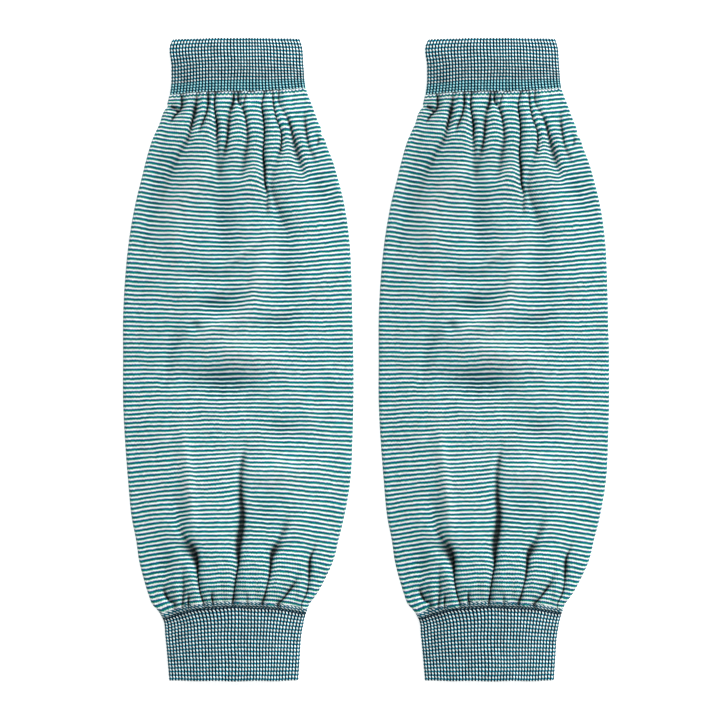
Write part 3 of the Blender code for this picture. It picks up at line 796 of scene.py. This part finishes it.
def cuff_mesh(name, open_y, join_y, courses, shares, shift, centre_x):
    """A cuff as a closed wall. Its rows are made from the open end to the join, the rolled ones
    first, each with its angle, and are then put in order from the top down."""
    way = -1 if open_y > join_y else 1
    steps = np.arange(courses[-1] * COURSE_STEPS + 1)
    angle = np.concatenate((ROLL_ANGLES, 0.0 * steps))
    row = np.concatenate((0.0 * ROLL_ANGLES, steps / COURSE_STEPS))
    first, last = open_y + way * ROLL, join_y - way * JOIN_GAP
    course = first + (last - first) * np.interp(row, courses, shares)
    extra_y, inset = -way * ROLL * np.sin(angle), ROLL * (1 - np.cos(angle))
    ribs = np.cos(angle) * np.where(angle > 0, ROLL_RIBS, 1)
    v = row - ROLL_COURSES * np.sin(angle)
    course, extra_y, inset, v, ribs = np.stack((course, extra_y, inset, v, ribs))[:, ::-way]
    inner_v = np.arange(courses[-1] + 1.0)[::-way]
    inner_course = np.linspace(open_y + way * ROLL / 2, last, len(inner_v))[::-way]
    outer = (*cuff_rings(course, extra_y, inset, v, ribs, shift), v)
    inner = (*inside_rings(inner_course), inner_v)
    return wall_mesh(name, outer, inner, 2 * HALF_RIBS, centre_x)


for side, axis_x in SLEEVE_AXES.items():
    for cuff_name, size in CUFFS.items():
        name = f"{side}_{cuff_name}"
        add_piece(name, cuff_mesh(name, *size, axis_x))

# %% [markdown]
# ## Yarn and stitches as node groups
#
# Both finishes need a value that differs from stitch to stitch, the fine twist of the yarn, and a
# stitch shape. These are node groups that read the stitch coordinates and put out masks and
# heights, and each material mixes its own colours with them. A small class lets their sums be
# written as sums, each of which adds a Math node.


# %% Helpers for nodes
def put(tree, kind, inputs=(), **settings):
    """A new node with its settings; inputs pairs a socket's name or number with a value, or with
    the socket or result that feeds it."""
    node = tree.nodes.new(kind)
    for key, value in settings.items():
        setattr(node, key, value)
    for key, value in inputs:
        value = getattr(value, "socket", value)
        if isinstance(value, bpy.types.NodeSocket):
            tree.links.new(value, node.inputs[key])
        else:
            node.inputs[key].default_value = value
    return node


def maths(tree, operation, *values):
    """The result of one Math node."""
    return Result(put(tree, "ShaderNodeMath", enumerate(values), operation=operation).outputs[0])


class Result:
    """A number that a node puts out. Arithmetic with it adds Math nodes to its tree."""

    def __init__(self, socket):
        self.socket, self.tree = socket, socket.id_data

    def math(self, operation, *others):
        return maths(self.tree, operation, self, *others)

    def __rsub__(self, other):
        return maths(self.tree, "SUBTRACT", other, self)

    __add__ = partialmethod(math, "ADD")
    __sub__ = partialmethod(math, "SUBTRACT")
    __mul__ = partialmethod(math, "MULTIPLY")
    __truediv__ = partialmethod(math, "DIVIDE")
    __pow__ = partialmethod(math, "POWER")


def ramp(value, start, end, low=0.0, high=1.0, kind="SMOOTHSTEP"):
    """A value carried from one range to another, held at the ends."""
    inputs = enumerate((value, start, end, low, high))
    return Result(put(value.tree, "ShaderNodeMapRange", inputs, interpolation_type=kind).outputs[0])


def blend(tree, share, first, second, mode="MIX"):
    """Two colours mixed by a share."""
    inputs = ((0, share), (6, first), (7, second))
    return put(tree, "ShaderNodeMix", inputs, data_type="RGBA", blend_type=mode).outputs[2]


def split(tree, stitches):
    """The stitch round the tube and the course, from the stitch coordinates."""
    node = put(tree, "ShaderNodeSeparateXYZ", ((0, stitches),))
    return Result(node.outputs[0]), Result(node.outputs[1])


def chance(u, v):
    """A random number from 0 to 1, one for each whole u and v."""
    cell = put(u.tree, "ShaderNodeCombineXYZ", ((0, u.math("FLOOR")), (1, v.math("FLOOR"))))
    inputs = (("Vector", cell.outputs[0]),)
    return Result(put(u.tree, "ShaderNodeTexWhiteNoise", inputs, noise_dimensions="2D").outputs[0])


def noise(tree, place, scale, detail):
    """Soft noise round one half."""
    inputs = (("Vector", place), ("Scale", scale), ("Detail", detail))
    return Result(put(tree, "ShaderNodeTexNoise", inputs).outputs[0])


def spaced(key):
    """A socket's name from a keyword."""
    return key.replace("_", " ")


def new_group(name, **inputs):
    """An empty node group, and its inputs as results. An input without a value is a vector."""
    group = bpy.data.node_groups.new(name, "ShaderNodeTree")
    for key, value in inputs.items():
        kind = "NodeSocketVector" if value is None else "NodeSocketFloat"
        socket = group.interface.new_socket(spaced(key), in_out="INPUT", socket_type=kind)
        if value is not None:
            socket.default_value = value
    given = put(group, "NodeGroupInput").outputs
    return (group, *(Result(given[spaced(key)]) for key in inputs))


def end_group(group, **results):
    """The same group with an output for each result."""
    for name in results:
        group.interface.new_socket(name, in_out="OUTPUT", socket_type="NodeSocketFloat")
    put(group, "NodeGroupOutput", results.items())
    return group


# %% [markdown]
# A plain knitted stitch shows as a V: two legs that lean apart as they rise. The group bends the
# course line by how far a point is from the middle of its column, so the stripes get their finely
# notched edges. Where plain knit runs into a rib, pairs of columns come to the front in turn, and
# the courses zigzag with them.

# %% The knit stitch group
WANDER_SCALE, WANDER = 0.9, 0.30
STITCH_SHIFT = 0.14


def off_middle(u):
    """A triangle wave: 0 in the middle of each whole number of u and 1 at its ends."""
    return (u.math("FRACT") - 0.5).math("ABSOLUTE") * 2.0


def knit_stitch_group():
    """Place in the pair of courses (0 in the middle of the pale one, 0.5 in the dark one), height
    and a random value for each stitch of plain knitting. The leg is a dome across the course, and
    it closes at the middle and the sides of its column."""
    names = {"Stitches": None, "V_depth": 0.35, "Zigzag": 0.0}
    group, stitches, v_depth, zigzag = new_group("knit stitch", **names)
    u, v = split(group, stitches)
    v = v + (noise(group, stitches, WANDER_SCALE, 1.0) - 0.5) * WANDER
    v = v + (chance(u, (v - 0.5) * 0.5) - 0.5) * STITCH_SHIFT
    v = v + (off_middle(u * 0.5) - 0.5) * zigzag
    leg_v = v + off_middle(u) * v_depth
    across = leg_v.math("FRACT") * 2.0 - 1.0
    dome = (1.0 - across * across).math("SQRT")
    beside = (off_middle(u) * 2.0 - 1.0).math("ABSOLUTE")
    height = dome * (1.0 - beside**3.0)
    stripe = ((leg_v - 0.5) * 0.5).math("FRACT")
    return end_group(group, Stripe=stripe, Height=height, Chance=chance(u, leg_v), Gap=1.0 - height)


KNIT_STITCH = knit_stitch_group()
print("group:", KNIT_STITCH.name)

# %% The rib stitch group
DOT_WIDTH, DOT_LENGTH = 0.28, 0.56
DOT_EDGE = (1.12, 0.88)
GROOVE_EDGE = (0.17, 0.36)
DOT_LEAN = 0.13
SWELL_POWER = 0.6


def rib_stitch_group():
    """Masks of a one-and-one rib: the pale dot on the rib, the groove beside it, and the height of
    a single stitch. The dot is a leaning ellipse in the middle of every second course."""
    names = {"Stitches": None, "Dot_width": DOT_WIDTH, "Dot_length": DOT_LENGTH, "Lean": DOT_LEAN}
    group, stitches, dot_width, dot_length, lean = new_group("rib stitch", **names)
    u, v = split(group, stitches)
    up = ((v * 0.5).math("FRACT") * 2.0 - 1.5).math("WRAP", 1.0, -1.0)
    beside = u.math("FRACT") - 0.5
    x, y = (beside - up * lean) / dot_width, up / dot_length
    dot = ramp((x * x + y * y).math("SQRT"), *DOT_EDGE)
    groove = ramp(beside.math("ABSOLUTE"), *GROOVE_EDGE)
    swell = (v * math.pi).math("SINE").math("ABSOLUTE") ** SWELL_POWER
    return end_group(group, Dot=dot, Groove=groove, Height=swell, Chance=chance(u, v * 0.5))


RIB_STITCH = rib_stitch_group()
print("group:", RIB_STITCH.name)

# %% [markdown]
# Up close the yarn is fine plies twisted together, with a soft nap. The group draws the plies as
# slanting lines, four or five to a stitch, and the nap as small noise. It puts out a height for the
# bump and a mottle that varies the colour.

# %% The yarn group
PLY_SLANT, NAP_SHIFT, PLY_HEIGHT = 1.4, 0.12, 0.25
NAP_SCALE, MOTTLE_SCALE = 5200.0, 160.0


def yarn_group():
    """Ply lines and nap: a sine along a slanting direction, roughened by noise."""
    group, stitches, place, plies = new_group("yarn", Stitches=None, Object=None, Plies=5.0)
    u, v = split(group, stitches)
    nap = noise(group, place, NAP_SCALE, 2.0)
    way = v * PLY_SLANT + u + nap * NAP_SHIFT
    ply = (way * plies * (2 * math.pi)).math("SINE")
    mottle = noise(group, place, MOTTLE_SCALE, 3.0)
    return end_group(group, Height=ply * PLY_HEIGHT + nap, Mottle=mottle)


YARN = yarn_group()
print("group:", YARN.name)

# %% [markdown]
# ## The finishes
#
# Wool and cotton yarns are matt, with a faint sheen at grazing angles. Colours are the yarn's own,
# in linear light, with painted shade on them. The mesh keeps light out of a crease, and the crease
# value paints its slit down to nearly black. The dip value paints shade: in a hollow, and a little in
# a crease, it widens and darkens the teal; on a swell it narrows it, a painted highlight.

# %% Yarn colours
OFF_WHITE = (0.88, 0.87, 0.86, 1.0)
NAVY_TEAL = (0.001, 0.050, 0.175, 1.0)
GREEN_TEAL = (0.002, 0.245, 0.180, 1.0)
BLUE_FRINGE = (0.15, 0.48, 0.92, 1.0)
GREEN_FRINGE = (0.17, 0.80, 0.52, 1.0)
CUFF_TEAL = (0.003, 0.205, 0.290, 1.0)
RIB_WHITE = (0.82, 0.91, 0.91, 1.0)
# A near black for painted shade: the rib grooves, the ground at the long cuff's join, and the dips.
SHADOW_TEAL = (0.001, 0.010, 0.022, 1.0)
PALE_TURQUOISE = (0.50, 0.92, 0.97, 1.0)
JOIN_TEAL = (0.001, 0.100, 0.145, 1.0)


def set_inputs(node, **values):
    """Plain values on a node's own sockets."""
    for key, value in values.items():
        node.inputs[spaced(key)].default_value = value


def new_material(name):
    """A matt cloth material, its tree, its shader, and the UV and Object coordinates."""
    material = bpy.data.materials.new(name)
    material.use_nodes = True
    tree = material.node_tree
    shader = tree.nodes["Principled BSDF"]
    set_inputs(shader, Roughness=0.9, Specular_IOR_Level=0.08, Sheen_Weight=0.03, Sheen_Roughness=0.5)
    uv = put(tree, "ShaderNodeUVMap", uv_map="stitches").outputs[0]
    return material, tree, shader, uv, put(tree, "ShaderNodeTexCoord").outputs["Object"]


def place_group(tree, group, **inputs):
    """The results of a node group in a material, by their names."""
    named = ((spaced(key), value) for key, value in inputs.items())
    node = put(tree, "ShaderNodeGroup", named, node_tree=group)
    return {socket.name: Result(socket) for socket in node.outputs}


def point_result(tree, name):
    """A number that the mesh keeps for each point."""
    return Result(put(tree, "ShaderNodeAttribute", attribute_name=name).outputs["Fac"])


def feed(shader, colour, tone, height, strength, distance):
    """The colour times the tone as the shader's colour, and a bump from the height."""
    tree = shader.id_data
    shade = put(tree, "ShaderNodeCombineColor", ((0, tone), (1, tone), (2, tone))).outputs[0]
    inputs = (("Strength", strength), ("Distance", distance), ("Height", height))
    tree.links.new(blend(tree, 1.0, colour, shade, "MULTIPLY"), shader.inputs["Base Color"])
    tree.links.new(put(tree, "ShaderNodeBump", inputs).outputs[0], shader.inputs["Normal"])


# %% The striped body
TEAL_SHARE = 0.57
# Where a blend starts and ends, and with four numbers also the values there.
TEAL_EDGE = (TEAL_SHARE - 0.06, TEAL_SHARE + 0.04, 1.0, 0.0)
FRINGE_EDGE = (TEAL_SHARE + 0.02, TEAL_SHARE + 0.16, 1.0, 0.0)
NAVY_TO_GREEN, BLUE_TO_GREEN = (0.28, 0.66), (0.45, 0.55)
V_DEPTHS = (12.0, 60.0, 0.28, 0.44)
JOIN_ZIGZAG = (0.0, 3.0, 1.2, 0.0)
# Painted shade: the crease value darkens the slits, and the gaps between stitches darken too.
CREASE_SHADE_TONES = (0.12, 0.85, 1.0, 0.07)
STITCH_TONES = (0.0, 1.0, 0.14, 0.50, "LINEAR")
MOTTLE_TONE, GAP_SHADE = 0.12, -0.40
DIP_SHADE_SPREAD, DIP_SHADE_DARKENS = 0.14, 0.8
DASH_EDGE = (BODY_COURSES - 2.2 - 0.4, BODY_COURSES - 2.2 + 0.4)
DASH_SCALE, RAGGED = (0.5, 1.5, 1.0), 7.0
KNIT_PLY, KNIT_BUMP = 0.15, (0.7, 0.00022)


def striped_material():
    """Off-white and teal courses in turn. The teal runs from navy at its upper edge to green at
    its lower one, with a thin fringe where it shines on the white. Painted shade makes it darker
    between stitches and nearly black in the slits of the creases."""
    material, tree, shader, uv, place = new_material("striped knit")
    course = split(tree, uv)[1]
    v_depth = ramp(course.math("MINIMUM", BODY_COURSES - course), *V_DEPTHS)
    zigzag = ramp(course, *JOIN_ZIGZAG)
    stitch = place_group(tree, KNIT_STITCH, Stitches=uv, V_depth=v_depth, Zigzag=zigzag)
    yarn = place_group(tree, YARN, Stitches=uv, Object=place, Plies=4.0)
    stripe, mottle, dip_shade = stitch["Stripe"], yarn["Mottle"], point_result(tree, "dip_shade")
    # Painted shade: the dip widens and darkens the teal; on a swell it narrows it, a painted highlight.
    from_teal = (stripe - 0.5).math("ABSOLUTE") * 2.0 - dip_shade * DIP_SHADE_SPREAD
    teal = blend(tree, ramp(stripe, *NAVY_TO_GREEN), NAVY_TEAL, GREEN_TEAL)
    teal = blend(tree, dip_shade * DIP_SHADE_DARKENS, teal, SHADOW_TEAL)
    is_teal = ramp(from_teal, *TEAL_EDGE)
    fringe = blend(tree, ramp(stripe, *BLUE_TO_GREEN), BLUE_FRINGE, GREEN_FRINGE)
    pale = blend(tree, ramp(from_teal, *FRINGE_EDGE), OFF_WHITE, fringe)
    colour = blend(tree, is_teal, pale, teal)
    dashes = put(tree, "ShaderNodeVectorMath", ((0, uv), (1, DASH_SCALE)), operation="MULTIPLY")
    dash = place_group(
        tree, RIB_STITCH, Stitches=dashes.outputs[0], Dot_width=0.21, Dot_length=0.70, Lean=0.50
    )
    at_join = ramp((mottle - 0.5) * RAGGED + course, *DASH_EDGE)
    colour = blend(tree, at_join, colour, blend(tree, dash["Dot"], JOIN_TEAL, RIB_WHITE))
    tone = (stitch["Chance"] - 0.5) * ramp(is_teal, *STITCH_TONES) + 0.97
    # Painted shade between stitches, and nearly black in the slits of the creases.
    tone = tone * (mottle * MOTTLE_TONE + 0.94) * (stitch["Gap"] ** 2.0 * GAP_SHADE + 1.0)
    tone = tone * ramp(point_result(tree, "crease"), *CREASE_SHADE_TONES)
    feed(shader, colour, tone, yarn["Height"] * KNIT_PLY + stitch["Height"], *KNIT_BUMP)
    return material


STRIPED = striped_material()
print("material:", STRIPED.name)

# %% The two rib finishes
NEVER = 999.0
# Painted shade on the rows at the join, and across the rows of the top cuff, lighter at the open end.
JOIN_ROWS, JOIN_SHADE, JOIN_NARROWS = 2.0, 0.8, -0.06
SHADE_ROWS = (4.0, 22.0)
# How much a random value and the mottle change the tone, and the least tone of each.
CHANCE_TONE, CHANCE_LEAST = 0.30, 0.74
RIB_MOTTLE, MOTTLE_LEAST = 0.20, 0.90
RIB_PLY, RIB_BUMP = 0.25, (0.6, 0.00015)


def rib_material(name, pale_from, dark_from, lean, shade_tone):
    """Pale dots on teal ribs with grooves in painted shade. Courses count from the open end: from
    pale_from on the dots are turquoise, from dark_from on they are small, lean hard and stand on
    ground in painted shade. The last value sets a painted shade across the rows, lighter at the open
    end and darker towards the join."""
    material, tree, shader, uv, place = new_material(name)
    course = split(tree, uv)[1]
    join = ramp(course, dark_from, dark_from + JOIN_ROWS)
    dot_width = join * JOIN_NARROWS + DOT_WIDTH
    stitch = place_group(tree, RIB_STITCH, Stitches=uv, Lean=join * lean + lean, Dot_width=dot_width)
    yarn = place_group(tree, YARN, Stitches=uv, Object=place, Plies=5.0)
    dot_colour = blend(tree, course.math("GREATER_THAN", pale_from), RIB_WHITE, PALE_TURQUOISE)
    # Painted shade: the ground near the join and the grooves go near black.
    ground = blend(tree, join * JOIN_SHADE, CUFF_TEAL, SHADOW_TEAL)
    colour = blend(tree, stitch["Groove"], ground, SHADOW_TEAL)
    colour = blend(tree, stitch["Dot"], colour, dot_colour)
    tone = stitch["Chance"] * CHANCE_TONE + CHANCE_LEAST
    tone = tone * (yarn["Mottle"] * RIB_MOTTLE + MOTTLE_LEAST)
    # Painted shade: lighter at the open end, darker towards the join.
    tone = tone * ramp(course, *SHADE_ROWS, 2.0 - shade_tone, shade_tone)
    feed(shader, colour, tone, yarn["Height"] * RIB_PLY + stitch["Height"], *RIB_BUMP)
    return material


TOP_RIB = rib_material("top rib", 24.5, NEVER, 0.12, 0.86)
BOTTOM_RIB = rib_material("bottom rib", NEVER, 34.0, -0.15, 1.0)
print("materials:", TOP_RIB.name, "and", BOTTOM_RIB.name)

# %% [markdown]
# ## Dressing the frame
#
# Each piece takes the place of one solid of the imported model and rides on the part's only body.

# %% Replace and ride
DRESS = {
    "top_rib_cuff": ("top_cuff", TOP_RIB, "top_rib", (0.140, 0.028), "laid"),
    "striped_body": ("body", STRIPED, "striped_knit", (0.240, 0.267), "gathered"),
    "bottom_rib_cuff": ("bottom_cuff", BOTTOM_RIB, "bottom_rib", (0.140, 0.039), "laid"),
}
for name, piece in pieces.items():
    side, kind = name.split("_", 1)
    node, material, slot, flat, held = DRESS[kind]
    piece.data.materials.append(material)
    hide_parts(f"{side}_{node}")
    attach(piece, "root")
    print(name, "stands for", f"{side}_{node}")

# %% [markdown]
# ## Floor, light and camera
#
# The photograph is a cut-out on white, so the floor is a plain sheet that light and a faint glow of
# its own bring up to white. A pale sky lights everything evenly, and one large soft lamp from the
# upper right shapes the folds. The camera looks straight down through a long lens.

# %% The floor
FLOOR_HALF, FLOOR_Z = 2.5, -0.0003
FLOOR_GLOW = 0.7
WHITE = (1.0, 1.0, 1.0, 1.0)
floor_mesh = bpy.data.meshes.new("floor")
corners = ((-1, -1), (1, -1), (1, 1), (-1, 1))
floor_mesh.from_pydata([(a * FLOOR_HALF, b * FLOOR_HALF, FLOOR_Z) for a, b in corners], [], [(0, 1, 2, 3)])
floor = add_object("floor", floor_mesh)
floor_finish = bpy.data.materials.new("white paper")
floor_finish.use_nodes = True
floor_shader = floor_finish.node_tree.nodes["Principled BSDF"]
set_inputs(floor_shader, Base_Color=(0.92, 0.92, 0.92, 1.0), Roughness=0.95, Specular_IOR_Level=0.0)
set_inputs(floor_shader, Emission_Color=WHITE, Emission_Strength=FLOOR_GLOW)
floor_mesh.materials.append(floor_finish)

# %% Sky and lamp
SKY = 0.42
KEY_POWER, KEY_SPREAD = 4.4, 24
KEY_TILT = (-40, 34, 0)
world = bpy.data.worlds.new("studio")
bpy.context.scene.world = world
world.use_nodes = True
set_inputs(world.node_tree.nodes["Background"], Color=WHITE, Strength=SKY)

key_lamp = bpy.data.lights.new("soft key", "SUN")
key_lamp.energy = KEY_POWER
key_lamp.angle = math.radians(KEY_SPREAD)
add_object("soft key", key_lamp).rotation_euler = [math.radians(turn) for turn in KEY_TILT]
bpy.context.scene.view_settings.view_transform = "Standard"
print("sky", SKY, "key", KEY_POWER)

# %% The camera
LENS, SENSOR = 200.0, 36.0
FRAME_WIDTH, FRAME_X, FRAME_Y, FRAME_Z = 373.9, -3.2, -0.26, 5.0
camera_data = bpy.data.cameras.new("camera")
camera_data.lens = LENS
camera_data.sensor_width = SENSOR
camera = add_object("camera", camera_data)
camera.location = (FRAME_X * MM, FRAME_Y * MM, (FRAME_WIDTH * LENS / SENSOR + FRAME_Z) * MM)
bpy.context.scene.camera = camera
print("camera", round(camera.location.z, 3), "m above the floor")

# %% Bring the scene up to date
bpy.context.view_layer.update()
